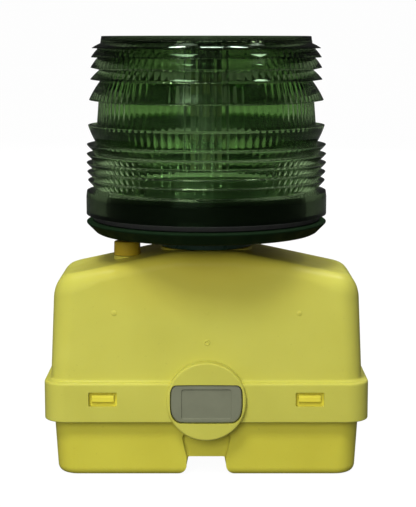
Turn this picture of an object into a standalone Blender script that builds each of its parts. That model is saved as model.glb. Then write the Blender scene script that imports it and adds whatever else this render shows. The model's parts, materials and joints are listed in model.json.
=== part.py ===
"""A portable all-round signal lamp: a green Fresnel lens on a yellow case for two lantern batteries.

The origin is on the ground under the middle of the case. The case's front faces -Y and +Z is up.
Lengths are in millimetres, and MM turns them into Blender's metres.
"""

import math

import bmesh
import bpy
from mathutils import Matrix, Vector

MM = 0.001
GAP = 0.3
WELD = 0.00001

# Driving dimensions.
BATTERY_SIDE = 66.0
BATTERY_X = 51.9
BATTERY_FOOT = 2.7
BATTERY_TOP = 105.0
WALL = 2.4
TRAY_TOP = 54.5
SKIRT_HALF = (98.5, 44.0)
CASE_FOOT_HALF = (95.0, 39.8)
ROOF_EDGE_HALF = (92.9, 36.4)
SKIRT_Z = (34.7, 59.0)
LEDGE_UNDERSIDE = 56.1
ROOF_Z = 137.0
ROOF_FLAT_HALF = 18.5
ROOF_SLOPE = math.tan(math.radians(12.1))
LENS_TOP = 265.3
DISH_BOTTOM = 142.6
STEM_RADIUS = 8.0
TAB_X = 62.3
BOSS_Z = 48.2
SWITCH_AT = (-49.0, -3.5)
SWITCH_SEAT = 131.2

# Colour, roughness and metallic value of each finish.
FINISHES = {
    "yellow": ((0.54, 0.52, 0.088), 0.42, 0.0),
    "tab yellow": ((0.61, 0.55, 0.06), 0.42, 0.0),
    "green lens": ((0.03, 0.16, 0.03), 0.08, 0.0),
    "dark green": ((0.01, 0.03, 0.02), 0.3, 0.0),
    "grey": ((0.19, 0.19, 0.13), 0.5, 0.0),
    "black": ((0.012, 0.012, 0.012), 0.45, 0.0),
    "rubber": ((0.02, 0.02, 0.02), 0.8, 0.0),
    "steel": ((0.55, 0.55, 0.56), 0.32, 1.0),
    "brass": ((0.7, 0.5, 0.2), 0.3, 1.0),
    "battery": ((0.05, 0.09, 0.22), 0.35, 0.0),
    "board": ((0.02, 0.14, 0.05), 0.4, 0.0),
    "white": ((0.7, 0.7, 0.68), 0.5, 0.0),
    "led": ((0.75, 0.7, 0.35), 0.25, 0.0),
    "red": ((0.5, 0.02, 0.02), 0.4, 0.0),
}


def clear_scene():
    for obj in list(bpy.data.objects):
        bpy.data.objects.remove(obj)


def collection(name):
    made = bpy.data.collections.new(name)
    bpy.context.scene.collection.children.link(made)
    return made


def finish(name, look):
    colour, roughness, metallic = FINISHES[look]
    material = bpy.data.materials.new(name)
    material.use_nodes = True
    shader = material.node_tree.nodes["Principled BSDF"]
    shader.inputs["Base Color"].default_value = (*colour, 1.0)
    shader.inputs["Roughness"].default_value = roughness
    shader.inputs["Metallic"].default_value = metallic
    return material


clear_scene()
PARTS = collection("portable_signal_lamp")
CUTTERS = collection("cutters")


# Building blocks. A piece with a look is a sub-part, and a piece without one is a cutter.


def add(name, mesh, at, look):
    obj = bpy.data.objects.new(name, mesh)
    obj.location = Vector(at) * MM
    if look:
        mesh.materials.append(finish(name, look))
        PARTS.objects.link(obj)
    else:
        obj.hide_render = True
        obj.display_type = "WIRE"
        CUTTERS.objects.link(obj)
    return obj


def mesh_from(bm, name, smooth=False):
    mesh = bpy.data.meshes.new(name)
    bm.to_mesh(mesh)
    bm.free()
    if smooth:
        mesh.shade_smooth()
        mesh.set_sharp_from_angle(angle=math.radians(35))
    return mesh


def bevel(obj, width, segments):
    modifier = obj.modifiers.new("rounded edges", "BEVEL")
    modifier.width = width * MM
    modifier.segments = segments
    modifier.limit_method = "ANGLE"
    modifier.angle_limit = math.radians(40)


def block(name, size, at, look=None, edge=0.0, segments=2):
    bm = bmesh.new()
    bmesh.ops.create_cube(bm, size=1.0, matrix=Matrix.Diagonal((*(Vector(size) * MM), 1.0)))
    obj = add(name, mesh_from(bm, name), at, look)
    if edge:
        bevel(obj, edge, segments)
    return obj


def rod(name, radius, low, high, at=(0.0, 0.0), look=None, sides=24, along_y=False):
    """A round or many-sided bar from low to high: along Z at (x, y), or along Y at (x, z)."""
    bm = bmesh.new()
    bmesh.ops.create_cone(
        bm,
        cap_ends=True,
        segments=sides,
        radius1=radius * MM,
        radius2=radius * MM,
        depth=(high - low) * MM,
    )
    middle = (low + high) / 2
    if along_y:
        bmesh.ops.rotate(bm, matrix=Matrix.Rotation(math.radians(-90), 3, "X"), verts=bm.verts)
    place = (at[0], middle, at[1]) if along_y else (at[0], at[1], middle)
    return add(name, mesh_from(bm, name, smooth=sides > 12), place, look)


def turned(name, outline, at=(0.0, 0.0), look=None, steps=48):
    """A solid of revolution. The (radius, height) outline runs down its outer side."""
    bm = bmesh.new()
    points = [bm.verts.new((radius * MM, 0.0, height * MM)) for radius, height in outline]
    touches_axis = outline[0][0] == 0
    following = points[1:] if touches_axis else points[1:] + points[:1]
    for first, second in zip(points, following):
        bm.edges.new((first, second))
    obj = add(name, mesh_from(bm, name), (*at, 0.0), look)
    screw = obj.modifiers.new("turned", "SCREW")
    screw.steps = steps
    screw.render_steps = steps
    screw.use_merge_vertices = True
    screw.merge_threshold = WELD
    screw.use_smooth_shade = True
    return obj


def curve_mesh(name, curve, at, look, turn=None):
    """The curve as a welded mesh, so that its caps are closed and it can be cut."""
    guide = bpy.data.objects.new(name + "_curve", curve)
    CUTTERS.objects.link(guide)
    seen = guide.evaluated_get(bpy.context.evaluated_depsgraph_get())
    mesh = bpy.data.meshes.new_from_object(seen)
    bpy.data.objects.remove(guide)
    mesh.name = name
    mesh.materials.clear()
    bm = bmesh.new()
    bm.from_mesh(mesh)
    bmesh.ops.remove_doubles(bm, verts=bm.verts, dist=WELD)
    if turn:
        bmesh.ops.rotate(bm, matrix=turn, verts=bm.verts)
    bmesh.ops.recalc_face_normals(bm, faces=bm.faces)
    bm.to_mesh(mesh)
    bm.free()
    return add(name, mesh, at, look)


def slab(name, outline, thickness, at=(0.0, 0.0, 0.0), look=None, across="Z"):
    """A flat outline made thick across Z, or an outline of (y, z) points made thick across X,
    or of (x, z) points made thick across Y."""
    curve = bpy.data.curves.new(name, "CURVE")
    curve.dimensions = "2D"
    curve.fill_mode = "BOTH"
    curve.extrude = thickness / 2 * MM
    spline = curve.splines.new("POLY")
    spline.points.add(len(outline) - 1)
    for point, (u, v) in zip(spline.points, outline):
        point.co = (u * MM, v * MM, 0.0, 1.0)
    spline.use_cyclic_u = True
    stand_up = Matrix.Rotation(math.radians(90), 3, "X")
    turns = {"Z": None, "Y": stand_up, "X": Matrix.Rotation(math.radians(90), 3, "Z") @ stand_up}
    return curve_mesh(name, curve, at, look, turns[across])


def wire(name, points, radius, look, at=(0.0, 0.0, 0.0), sides=2):
    curve = bpy.data.curves.new(name, "CURVE")
    curve.dimensions = "3D"
    curve.bevel_depth = radius * MM
    curve.bevel_resolution = sides
    curve.use_fill_caps = True
    spline = curve.splines.new("POLY")
    spline.points.add(len(points) - 1)
    for point, place in zip(spline.points, points):
        point.co = (*(Vector(place) * MM), 1.0)
    return curve_mesh(name, curve, at, look)


def section(half_width, half_depth, radius, height, stations=(), corner_steps=4):
    """One loop round a rounded rectangle: the front from right to left, then the back.

    The height is a number or a function of x.
    """
    quarter = [math.radians(90 * step / corner_steps) for step in range(corner_steps + 1)]
    inner_x = half_width - radius
    inner_y = half_depth - radius
    right = [(inner_x + radius * math.cos(a), -inner_y - radius * math.sin(a)) for a in quarter]
    left = [(-x, y) for x, y in reversed(right)]
    front = right + [(x, -half_depth) for x in sorted(stations, reverse=True)] + left
    back = [(x, -y) for x, y in reversed(front)]
    level = height if callable(height) else lambda x: height
    return [(x, y, level(x)) for x, y in front + back]


def loft(name, sections, at=(0.0, 0.0, 0.0), look=None):
    """A closed solid through loops of equal count, capped by strips that run from front to back."""
    bm = bmesh.new()
    loops = [[bm.verts.new(Vector(point) * MM) for point in loop] for loop in sections]
    count = len(loops[0])
    for lower, upper in zip(loops, loops[1:]):
        for i in range(count):
            j = (i + 1) % count
            bm.faces.new((lower[i], lower[j], upper[j], upper[i]))
    for loop in (loops[0], loops[-1]):
        for i in range(count // 2 - 1):
            bm.faces.new((loop[i], loop[i + 1], loop[count - 2 - i], loop[count - 1 - i]))
    bmesh.ops.recalc_face_normals(bm, faces=bm.faces)
    return add(name, mesh_from(bm, name, smooth=True), at, look)


def boolean(obj, tools, operation):
    for tool in tools:
        modifier = obj.modifiers.new(tool.name, "BOOLEAN")
        modifier.operation = operation
        modifier.solver = "EXACT"
        modifier.object = tool


def cut(obj, *tools):
    boolean(obj, tools, "DIFFERENCE")


def join(obj, *tools):
    boolean(obj, tools, "UNION")


def around(count, radius, start=90.0):
    """Places evenly round the lamp's axis."""
    angles = [math.radians(start + 360.0 * i / count) for i in range(count)]
    return [(radius * math.cos(a), radius * math.sin(a)) for a in angles]


# The battery tray, its snap tabs and the two batteries.

TAB_AXIS = (39.6, 39.4)
TAB_HALF_THICKNESS = 1.1
TAB_WIDTH = 17.8
TAB_TOP = 53.6
NOSE_WIDTH = 13.4
NOSE_TOP = 51.8
NOTCH_FACE = 35.3
NOTCH_HALF = 31.5
VALLEY_Y = 33.6


def tray_outer():
    levels = (
        (87.2, 32.6, 9.0, 0.0),
        (89.2, 34.3, 10.6, 1.0),
        (90.5, 35.5, 11.5, 2.6),
        (91.3, 36.2, 12.0, 5.0),
        (93.1, 37.5, 13.0, 35.4),
        (95.1, 40.8, 10.8, 37.4),
        (95.1, 40.8, 10.8, TRAY_TOP),
    )
    return [section(*level) for level in levels]


def well(name, side):
    """The pocket for one battery. Its outer wall leans out with the tray's."""
    inner_x = 18.6
    levels = ((85.1, 33.6, WALL), (89.4, 34.6, 34.0), (90.0, 34.8, 41.0))
    loops = []
    for outer_x, half_depth, height in levels:
        half_width = (outer_x - inner_x) / 2
        middle = side * (outer_x + inner_x) / 2
        loop = section(half_width, half_depth, 9.4, height)
        loops.append([(x + middle, y, z) for x, y, z in loop])
    return loft(name, loops)


def base_arch():
    """The way through under the middle of the tray, between the rounded inner edges of its two feet."""
    half_width, ceiling, foot_radius = 11.0, 11.0, 6.4
    foot_x = half_width + 1.0 + foot_radius
    angles = [math.radians(90 * step / 4) for step in range(5)]
    left = [(-foot_x, -2.0)]
    left += [(-foot_x + foot_radius * math.sin(a), foot_radius * (1 - math.cos(a))) for a in angles]
    left += [(-half_width, ceiling)]
    return left + [(-x, z) for x, z in reversed(left)]


def battery_tray():
    tray = loft("battery_tray", tray_outer(), look="yellow")
    rim = [section(92.7, 38.4, 8.4, height) for height in (40.0, 60.0)]
    cut(tray, well("well_left", -1), well("well_right", 1), loft("rim_inside", rim))
    cut(tray, block("centre_pocket", (32.0, 62.0, 50.0), (0, 0, 39.4)))
    cut(tray, block("foot_hollow", (32.0, 62.0, 22.8), (0, 0, 0)))
    cut(tray, slab("base_arch", base_arch(), 120.0, across="Y"))
    valley = [(-12.0, -2.0), (-12.0, 11.0), (-15.0, 24.0), (-11.0, 29.0)]
    valley += [(-x, z) for x, z in reversed(valley)]
    for label, side in (("front", -1), ("rear", 1)):
        place = (0, side * (VALLEY_Y + 7.5), 0)
        cut(tray, slab(f"valley_{label}", valley, 15.0, at=place, across="Y"))
    inner_face = -(BATTERY_SIDE / 2 + GAP)
    latch_wall = [(inner_face, 30.0), (-36.6, 30.0), (-36.6, 35.2), (-40.0, 35.2), (-40.0, 54.4), (inner_face, 54.4)]
    join(tray, slab("latch_wall", latch_wall, 69.0, across="X"))
    notch_depth = 45.0 - NOTCH_FACE
    notch_at = (0, -NOTCH_FACE - notch_depth / 2, 48.0)
    cut(tray, block("latch_notch", (2 * NOTCH_HALF, notch_depth, 26.2), notch_at))
    flange_way = clipped_disc(BUTTON_FLANGE_RADIUS + 0.5, BUTTON_FLANGE_Z[0] - 0.5, 0.0)
    cut(tray, slab("flange_notch", flange_way, notch_depth, at=(0, notch_at[1], BOSS_Z), across="Y"))
    for x in (-TAB_X, TAB_X):
        for y in (-1, 1):
            slot_size = (TAB_WIDTH + 0.8, 4.4, 23.0)
            cut(tray, block(f"tab_slot_{x:.0f}_{y}", slot_size, (x, y * 40.2, 49.4)))


def snap_tab(name, x, side):
    """A spring tab. It pivots at its foot, where the pin line of its hinge runs along X."""
    foot_y, foot_z = TAB_AXIS
    foot = [math.radians(180 + 180 * step / 6) for step in range(7)]
    plate = [(TAB_HALF_THICKNESS, TAB_TOP - foot_z), (-TAB_HALF_THICKNESS, TAB_TOP - foot_z)]
    plate += [(TAB_HALF_THICKNESS * math.cos(a), TAB_HALF_THICKNESS * math.sin(a)) for a in foot]
    top = NOSE_TOP - foot_z
    nose = [(-0.5, top), (-2.4, top - 0.3), (-3.1, top - 1.6), (-3.1, top - 4.4), (-2.4, top - 5.2), (-0.5, top - 5.6)]
    plate, nose = ([(-side * y, z) for y, z in outline] for outline in (plate, nose))
    at = (x, side * foot_y, foot_z)
    tab = slab(name, plate, TAB_WIDTH, at=at, look="tab yellow", across="X")
    join(tab, slab(f"{name}_nose", nose, NOSE_WIDTH, at=at, across="X"))


def battery(name, x):
    half = BATTERY_SIDE / 2
    jacket = (
        (half - 1.0, half - 1.0, 8.0, BATTERY_FOOT),
        (half, half, 9.0, BATTERY_FOOT + 1.0),
        (half, half, 9.0, 97.0),
        (half - 1.0, half - 1.0, 8.0, 98.0),
    )
    cover = (
        (half - 0.8, half - 0.8, 8.2, 98.0 + GAP),
        (half - 0.8, half - 0.8, 8.2, 101.0),
        (half - 3.5, half - 3.5, 6.0, BATTERY_TOP),
    )
    loft(name, [section(*level) for level in jacket], at=(x, 0, 0), look="battery")
    loft(f"{name}_top", [section(*level) for level in cover], at=(x, 0, 0), look="black")


def terminal_spring(name, x, y):
    """A conical contact spring that stands on the battery's top."""
    turns, steps_per_turn, wire_radius = 2.5, 12, 0.7
    low = BATTERY_TOP + GAP + wire_radius
    high = 113.3 - wire_radius
    count = int(turns * steps_per_turn)
    points = []
    for i in range(count + 1):
        share = i / count
        angle = 2 * math.pi * turns * share
        radius = 8.0 - 3.5 * share
        height = low + (high - low) * share
        points.append((radius * math.cos(angle), radius * math.sin(angle), height))
    wire(name, points, wire_radius, "steel", at=(x, y, 0), sides=0)


# The upper case: roof, walls, skirt and latch boss in one moulding.

CASE_WALL = 2.5
STATIONS = (-70.0, -60.0, -ROOF_FLAT_HALF, ROOF_FLAT_HALF, 60.0, 70.0)
SKIRT_INNER = (95.5, 41.2)


def roof(x):
    return ROOF_Z - ROOF_SLOPE * max(0.0, abs(x) - ROOF_FLAT_HALF)


def case_sections(inset):
    """Loops from inside the skirt up over the rounded roof edge, moved inwards by the inset."""
    half_width, half_depth = (half - inset for half in CASE_FOOT_HALF)
    loops = [section(half_width, half_depth, 14.0 - inset, 50.0, STATIONS)]
    front_radius = 9.0 - inset
    for step in range(6):
        angle = math.radians(90 * step / 5)
        inwards = 1 - math.cos(angle)
        drop_share = 1 - math.sin(angle)

        def height(x, drop_share=drop_share):
            towards_end = min(1.0, max(0.0, (abs(x) - 60.0) / 20.0))
            radius = front_radius + 5.0 * towards_end
            return roof(x) - inset - radius * drop_share

        half_width = ROOF_EDGE_HALF[0] - inset - front_radius * inwards
        half_depth = ROOF_EDGE_HALF[1] - inset - front_radius * inwards
        corner = 14.0 - inset - front_radius * inwards
        loops.append(section(half_width, half_depth, corner, height, STATIONS))
    return loops


def skirt_outer():
    half_width, half_depth = SKIRT_HALF
    low, high = SKIRT_Z
    return [
        section(half_width - 0.4, half_depth - 0.4, 13.6, low),
        section(half_width, half_depth, 14.0, low + 0.5),
        section(half_width, half_depth, 14.0, high - 1.6),
        section(half_width - 0.5, half_depth - 0.5, 13.5, high - 0.5),
        section(half_width - 1.6, half_depth - 1.6, 12.4, high),
    ]


def latch_boss():
    """The round boss on the front of the skirt, with a rounded rim."""
    radius, front, rear = 24.0, -47.0, -38.4
    bm = bmesh.new()
    bmesh.ops.create_cone(
        bm,
        cap_ends=True,
        segments=48,
        radius1=radius * MM,
        radius2=radius * MM,
        depth=(rear - front) * MM,
        matrix=Matrix.Rotation(math.radians(90), 4, "X"),
    )
    boss = add("latch_boss", mesh_from(bm, "latch_boss"), (0, (front + rear) / 2, BOSS_Z), None)
    bevel(boss, 1.2, 2)
    return boss


def upper_case():
    case = loft("upper_case", case_sections(0.0), look="yellow")
    join(case, loft("skirt", skirt_outer()), latch_boss())
    cut(case, loft("case_inside", case_sections(CASE_WALL)))
    inside = [section(*SKIRT_INNER, 11.2, height) for height in (20.0, LEDGE_UNDERSIDE)]
    cut(case, loft("skirt_inside", inside))
    pocket = button_outline(0.4)
    cut(case, slab("latch_pocket", pocket, 11.7, at=(0, -44.15, BOSS_Z), across="Y"))
    for x in (-TAB_X, TAB_X):
        for y in (-1, 1):
            name = f"{x:.0f}_{y}"
            cut(case, block(f"tab_window_{name}", (17.2, 6.0, 8.8), (x, y * 43.0, 49.0)))
            cut(case, block(f"tab_groove_{name}", (NOSE_WIDTH + 1.4, 3.0, 16.0), (x, y * 41.5, 37.0)))
    posts = []
    bores = []
    for x, y in SCREW_POSTS:
        posts.append(rod(f"board_post_{x:.0f}_{y:.0f}", 3.2, 116.2, 131.6, (x, y), sides=12))
        bores.append(rod(f"board_bore_{x:.0f}_{y:.0f}", 1.5, 115.0, 125.0, (x, y), sides=8))
    for x in (-LATCH_POST_X, LATCH_POST_X):
        posts.append(rod(f"latch_post_{x:.0f}", 2.6, -42.0, -37.9, (x, 45.0), sides=12, along_y=True))
        bores.append(rod(f"latch_bore_{x:.0f}", 1.2, -41.4, -37.0, (x, 45.0), sides=8, along_y=True))
    posts.append(rod("neck_seat", 28.4, 134.7, ROOF_Z, sides=48))
    posts.append(rod("switch_seat", 8.25, 126.6, SWITCH_SEAT, SWITCH_AT, sides=32))
    bores.append(rod("switch_spotface", 8.7, SWITCH_SEAT, 145.0, SWITCH_AT, sides=32))
    bores.append(rod("switch_bore", 3.5, 120.0, 140.0, SWITCH_AT, sides=16))
    bores.append(rod("stem_bore", STEM_RADIUS + 0.4, 125.0, 145.0, sides=24))
    join(case, *posts)
    cut(case, *bores)
    join(case, rod("sprue_mark", 1.3, -39.5, -37.6, (0.4, 82.8), sides=12, along_y=True))


def case_gasket():
    """The seal on the tray's rim, open at the front where the latch button travels."""
    outer = [section(95.0, 40.6, 10.6, height) for height in (54.8, 55.8)]
    gasket = loft("case_gasket", outer, look="rubber")
    inner = [section(93.2, 38.8, 8.8, height) for height in (50.0, 60.0)]
    cut(gasket, loft("gasket_inside", inner), block("latch_gap", (46.0, 8.0, 6.0), (0, -41.0, 55.3)))


# The latch on the front.

LATCH_POST_X = 28.0
BUTTON_RIGHT_SIDE = (
    (14.8, -13.1),
    (17.2, -12.5),
    (19.4, -10.6),
    (20.8, -7.8),
    (21.4, -4.4),
    (21.5, 1.0),
    (21.3, 5.6),
    (20.7, 8.0),
    (19.4, 9.6),
    (17.3, 10.1),
)
BUTTON_FLANGE_RADIUS = 23.2
BUTTON_FLANGE_Z = (-16.0, 6.0)


def clipped_disc(radius, low, high, steps=8):
    """A circle round the boss's centre, cut off by a level line below it and one above it."""
    first, last = math.asin(low / radius), math.asin(high / radius)
    angles = [first + (last - first) * step / steps for step in range(steps + 1)]
    right = [(radius * math.cos(a), radius * math.sin(a)) for a in angles]
    return right + [(-x, z) for x, z in reversed(right)]


def button_outline(grown=0.0):
    """The button's rounded outline round the boss's centre, or a larger one for its opening."""
    right = [(x + grown, z + math.copysign(grown, z)) for x, z in BUTTON_RIGHT_SIDE]
    return right + [(-x, z) for x, z in reversed(right)]


def latch_button():
    """The button fills the boss's opening, and a wider flange behind it keeps it in."""
    button = slab("latch_button", button_outline(), 5.6, at=(0, -43.5, BOSS_Z), look="grey", across="Y")
    bevel(button, 1.0, 2)
    flange = clipped_disc(BUTTON_FLANGE_RADIUS, *BUTTON_FLANGE_Z)
    join(button, slab("latch_flange", flange, 0.9, at=(0, -40.45, BOSS_Z), across="Y"))
    cut(button, block("latch_dish", (30.0, 3.0, 18.4), (0, -47.2, 46.7), edge=1.4))


def latch_spring():
    """A bowed leaf that lies between the button's flange and the bracket."""
    reach, rise, thickness, steps = 16.0, 1.4, 0.3, 8
    bow = [(reach * (2 * i / steps - 1), rise * (1 - (2 * i / steps - 1) ** 2)) for i in range(steps + 1)]
    front = [(x, -38.0 - y - thickness) for x, y in bow]
    back = [(x, -38.0 - y) for x, y in reversed(bow)]
    slab("latch_spring", front + back, 6.0, at=(0, 0, 45.0), look="steel")


def latch_bracket():
    bracket = block("latch_bracket", (61.6, 0.7, 9.0), (0, -37.25, 45.0), "steel")
    for x, label in ((-LATCH_POST_X, "left"), (LATCH_POST_X, "right")):
        at = (x, 45.0)
        cut(bracket, rod(f"bracket_hole_{label}", 1.3, -39.0, -35.0, at, sides=8, along_y=True))
        screw = rod(f"latch_screw_{label}", 1.8, -36.6, -35.8, at, "steel", sides=12, along_y=True)
        join(screw, rod(f"latch_shank_{label}", 0.8, -40.8, -36.2, at, sides=8, along_y=True))


# The contact board under the roof, and the switch on it.

BOARD_Z = (114.4, 116.0)
SCREW_POSTS = ((-36.0, -24.0), (-36.0, 24.0), (36.0, -24.0), (36.0, 24.0))


def contact_board():
    low, high = BOARD_Z
    board = block("contact_board", (164.0, 60.0, high - low), (0, 0, (low + high) / 2), "board")
    for number, (x, y) in enumerate(SCREW_POSTS, 1):
        cut(board, rod(f"board_hole_{number}", 1.6, low - 2, high + 2, (x, y), sides=8))
        screw = rod(f"board_screw_{number}", 2.6, low - 1.7, low - 0.3, (x, y), "steel", sides=12)
        join(screw, rod(f"board_shank_{number}", 1.1, low - 1, 124.0, (x, y), sides=8))


def contact_strips():
    """The underside strips: one links the two batteries, and the two pads feed the lamp."""
    z = 113.85
    middle, corner = (BATTERY_X, 0.0), (BATTERY_X + 20.0, 20.0)
    block("contact_left", (13.0, 13.0, 0.4), (-middle[0], middle[1], z), "brass")
    block("contact_right", (13.0, 13.0, 0.4), (*corner, z), "brass")
    link_from, link_to = Vector((-corner[0], corner[1])), Vector(middle)
    run = link_to - link_from
    centre = (link_from + link_to) / 2
    link = block("contact_link", (run.length + 12.0, 8.0, 0.4), (*centre, z), "brass")
    link.rotation_euler.z = math.atan2(run.y, run.x)


def rotary_switch():
    body = block("switch_body", (20.0, 20.0, 8.2), (*SWITCH_AT, 120.5), "black", edge=0.8, segments=1)
    cut(body, rod("switch_socket", 3.4, 120.0, 130.0, SWITCH_AT, sides=16))
    foot = SWITCH_SEAT + GAP
    cap = ((0, 140.0), (7.2, 140.0), (8.0, 139.3), (8.25, 138.4), (8.25, foot))
    spindle = ((3.0, foot), (3.0, 120.6), (0, 120.6))
    turned("switch_knob", cap + spindle, at=SWITCH_AT, look="yellow", steps=32)


# The neck and the dish that carries the lens.

LUG_RADIUS = 65.5
FREE_TURN = 30.0
DISH_FLOOR = 145.6
DISH_RING_FLOOR = 147.0


def neck():
    bore = STEM_RADIUS + 0.4
    collar = ((28.0, 142.3), (28.0, 137.3), (bore, 137.3), (bore, 142.3))
    turned("neck_collar", collar, look="dark green")
    stem = ((STEM_RADIUS, 151.0), (STEM_RADIUS, 128.5), (5.0, 128.5), (5.0, 151.0))
    turned("neck_stem", stem, look="steel", steps=24)
    for name, low, high in (("neck_nut", 130.2, 134.2), ("dish_nut", 145.9, 149.9)):
        nut = rod(name, 13.0, low, high, look="steel", sides=6)
        cut(nut, rod(f"{name}_bore", bore, low - 2, high + 2, sides=24))


def lens_dish():
    bore = STEM_RADIUS + 0.4
    outline = (
        (72.9, 153.4),
        (73.8, 153.1),
        (74.0, 152.5),
        (73.7, 151.9),
        (68.4, 146.4),
        (66.6, 145.5),
        (46.0, DISH_BOTTOM),
        (bore, DISH_BOTTOM),
        (bore, DISH_FLOOR),
        (37.0, DISH_FLOOR),
        (39.0, DISH_RING_FLOOR),
        (66.8, DISH_RING_FLOOR),
        (68.0, 147.8),
        (68.0, 150.8),
        (65.6, 150.8),
        (65.6, 153.4),
    )
    dish = turned("lens_dish", outline, look="green lens")
    for number, (x, y) in enumerate(around(3, 64.9, start=90.0 + FREE_TURN), 1):
        entry = block(f"lug_entry_{number}", (6.0, 21.0, 6.0), (x, y, 152.4))
        entry.rotation_euler.z = math.atan2(y, x)
        cut(dish, entry)
    for number, (x, y) in enumerate(BASE_SCREWS, 1):
        stepped = ((0, 149.0), (1.6, 149.0), (1.6, 145.0), (3.1, 145.0), (3.1, 140.0), (0, 140.0))
        cut(dish, turned(f"dish_hole_{number}", stepped, at=(x, y), steps=10))


def lens_gasket():
    outline = ((69.6, 157.0), (70.0, 156.4), (70.0, 154.2), (69.6, 153.7), (66.4, 153.7), (66.4, 157.0))
    turned("lens_gasket", outline, look="rubber")


# The lens.

# Each tooth's tip radius and height, then its root's radius and height. A tooth above the belt has its
# root below its tip. A tooth below the belt has it above, beside the tip.
UPPER_TEETH = (
    (70.0, 258.0, 66.2, 257.8),
    (70.4, 252.5, 66.3, 252.4),
    (70.7, 246.3, 65.2, 245.0),
    (71.0, 239.2, 64.9, 238.3),
    (71.8, 226.8, 66.0, 225.8),
)
LOWER_TEETH = (
    (72.6, 211.8, 67.2, 210.4),
    (73.6, 200.0, 67.4, 200.2),
    (73.7, 194.2, 68.0, 194.6),
    (73.8, 188.9, 68.2, 189.2),
    (73.4, 183.4, 68.4, 183.8),
    (73.0, 178.2, 68.4, 178.6),
)


def lens_outline():
    """Saw teeth above the plain belt lean down and outwards, and those below it lean the other way."""
    outer = [(0.0, LENS_TOP), (62.6, LENS_TOP), (63.8, 264.8), (64.3, 263.7), (64.6, 261.0)]
    for tip, tip_height, root, root_height in UPPER_TEETH:
        outer += [(tip, tip_height), (root, root_height)]
    for tip, tip_height, root, root_height in LOWER_TEETH:
        outer += [(root, root_height), (tip, tip_height)]
    outer += [(67.4, 172.6), (72.8, 171.5), (73.8, 170.6), (74.0, 168.0), (74.0, 158.6), (73.2, 157.3)]
    inner = [(65.2, 157.3), (65.2, 147.6), (62.4, 147.6), (62.4, 172.0), (62.0, 214.0)]
    return outer + inner + [(61.2, 240.0), (60.6, 259.0), (58.6, 262.0), (0.0, 262.2)]


def lens():
    drum = turned("lens", lens_outline(), look="green lens")
    for number, (x, y) in enumerate(around(3, LUG_RADIUS), 1):
        lug = block(f"lens_lug_{number}", (3.4, 13.6, 2.6), (x, y, 149.2))
        lug.rotation_euler.z = math.atan2(y, x)
        join(drum, lug)


# The light inside the lens.

BASE_SCREWS = around(3, 50.0, start=30.0)
STANDOFFS = around(3, 48.0)


def lamp_base():
    foot = DISH_RING_FLOOR + GAP
    outside = ((0, 167.0), (59.4, 167.0), (60.0, 166.4), (60.0, foot))
    inside = ((58.0, foot), (58.0, 165.0), (0, 165.0))
    base = turned("lamp_base", outside + inside, look="black")
    for number, (x, y) in enumerate(BASE_SCREWS, 1):
        join(base, rod(f"base_post_{number}", 3.6, foot, 166.0, (x, y), sides=12))
        cut(base, rod(f"base_bore_{number}", 1.5, 145.0, 158.0, (x, y), sides=8))
        screw = rod(f"base_screw_{number}", 2.6, 143.7, 144.7, (x, y), "steel", sides=12)
        join(screw, rod(f"base_shank_{number}", 1.1, 144.0, 156.0, (x, y), sides=8))
    cut(base, rod("lead_way", 4.0, 160.0, 170.0, sides=12))


def led_stack():
    for number, (x, y) in enumerate(STANDOFFS, 1):
        rod(f"standoff_{number}", 2.5, 167.3, 189.7, (x, y), "white", sides=8)
    turned("led_board", ((58.0, 191.6), (58.0, 190.0), (4.0, 190.0), (4.0, 191.6)), look="white")
    shell = ((29.0, 205.0), (31.0, 203.4), (31.0, 191.9), (29.4, 191.9), (29.4, 203.2))
    turned("driver_cover", shell + ((4.0, 203.2), (4.0, 205.0)), look="white", steps=32)
    tower = rod("led_tower", 11.0, 205.3, 232.6, look="white", sides=6)
    cut(tower, rod("tower_bore", 3.0, 200.0, 240.0, sides=8))
    for number, (x, y) in enumerate(around(6, 11.0 * math.cos(math.radians(30)) + 1.4, start=0.0), 1):
        led = block(f"led_{number}", (2.0, 5.4, 8.0), (x, y, 219.0), "led", edge=0.5, segments=1)
        led.rotation_euler.z = math.atan2(y, x)
    cap = ((0, 236.0), (11.6, 236.0), (13.0, 234.6), (13.0, 232.9), (0, 232.9))
    turned("tower_cap", cap, look="white", steps=24)


def driver():
    disc = ((44.0, 161.6), (44.0, 160.0), (4.5, 160.0), (4.5, 161.6))
    turned("driver_board", disc, look="board", steps=32)
    rod("driver_capacitor", 5.0, 150.6, 159.7, (24.0, 12.0), "battery", sides=16)
    rod("driver_inductor", 7.0, 152.0, 159.7, (-22.0, 14.0), "brass", sides=16)


def lead(name, side, look):
    """A feed lead from the contact board up through the hollow stem to the driver board."""
    points = (
        (side * 22.0, 6.0, 117.6),
        (side * 14.0, 4.0, 118.6),
        (side * 6.0, 1.5, 121.6),
        (side * 2.4, 0.0, 127.0),
        (side * 2.0, 0.0, 140.0),
        (side * 2.2, 0.0, 151.5),
        (side * 6.0, -1.0, 156.0),
        (side * 12.0, -2.0, 158.4),
    )
    wire(name, points, 0.9, look)


battery_tray()
for y_label, y_side in (("front", -1), ("rear", 1)):
    for x_label, x_side in (("left", -1), ("right", 1)):
        snap_tab(f"snap_tab_{y_label}_{x_label}", x_side * TAB_X, y_side)
for label, x_side in (("left", -1), ("right", 1)):
    battery(f"battery_{label}", x_side * BATTERY_X)
    terminal_spring(f"spring_{label}_centre", x_side * BATTERY_X, 0.0)
    terminal_spring(f"spring_{label}_corner", x_side * (BATTERY_X + 20.0), 20.0)
upper_case()
case_gasket()
latch_button()
latch_spring()
latch_bracket()
contact_board()
contact_strips()
rotary_switch()
neck()
lens_dish()
lens_gasket()
lens()
lamp_base()
led_stack()
driver()
lead("lead_red", 1, "red")
lead("lead_black", -1, "black")
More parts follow.
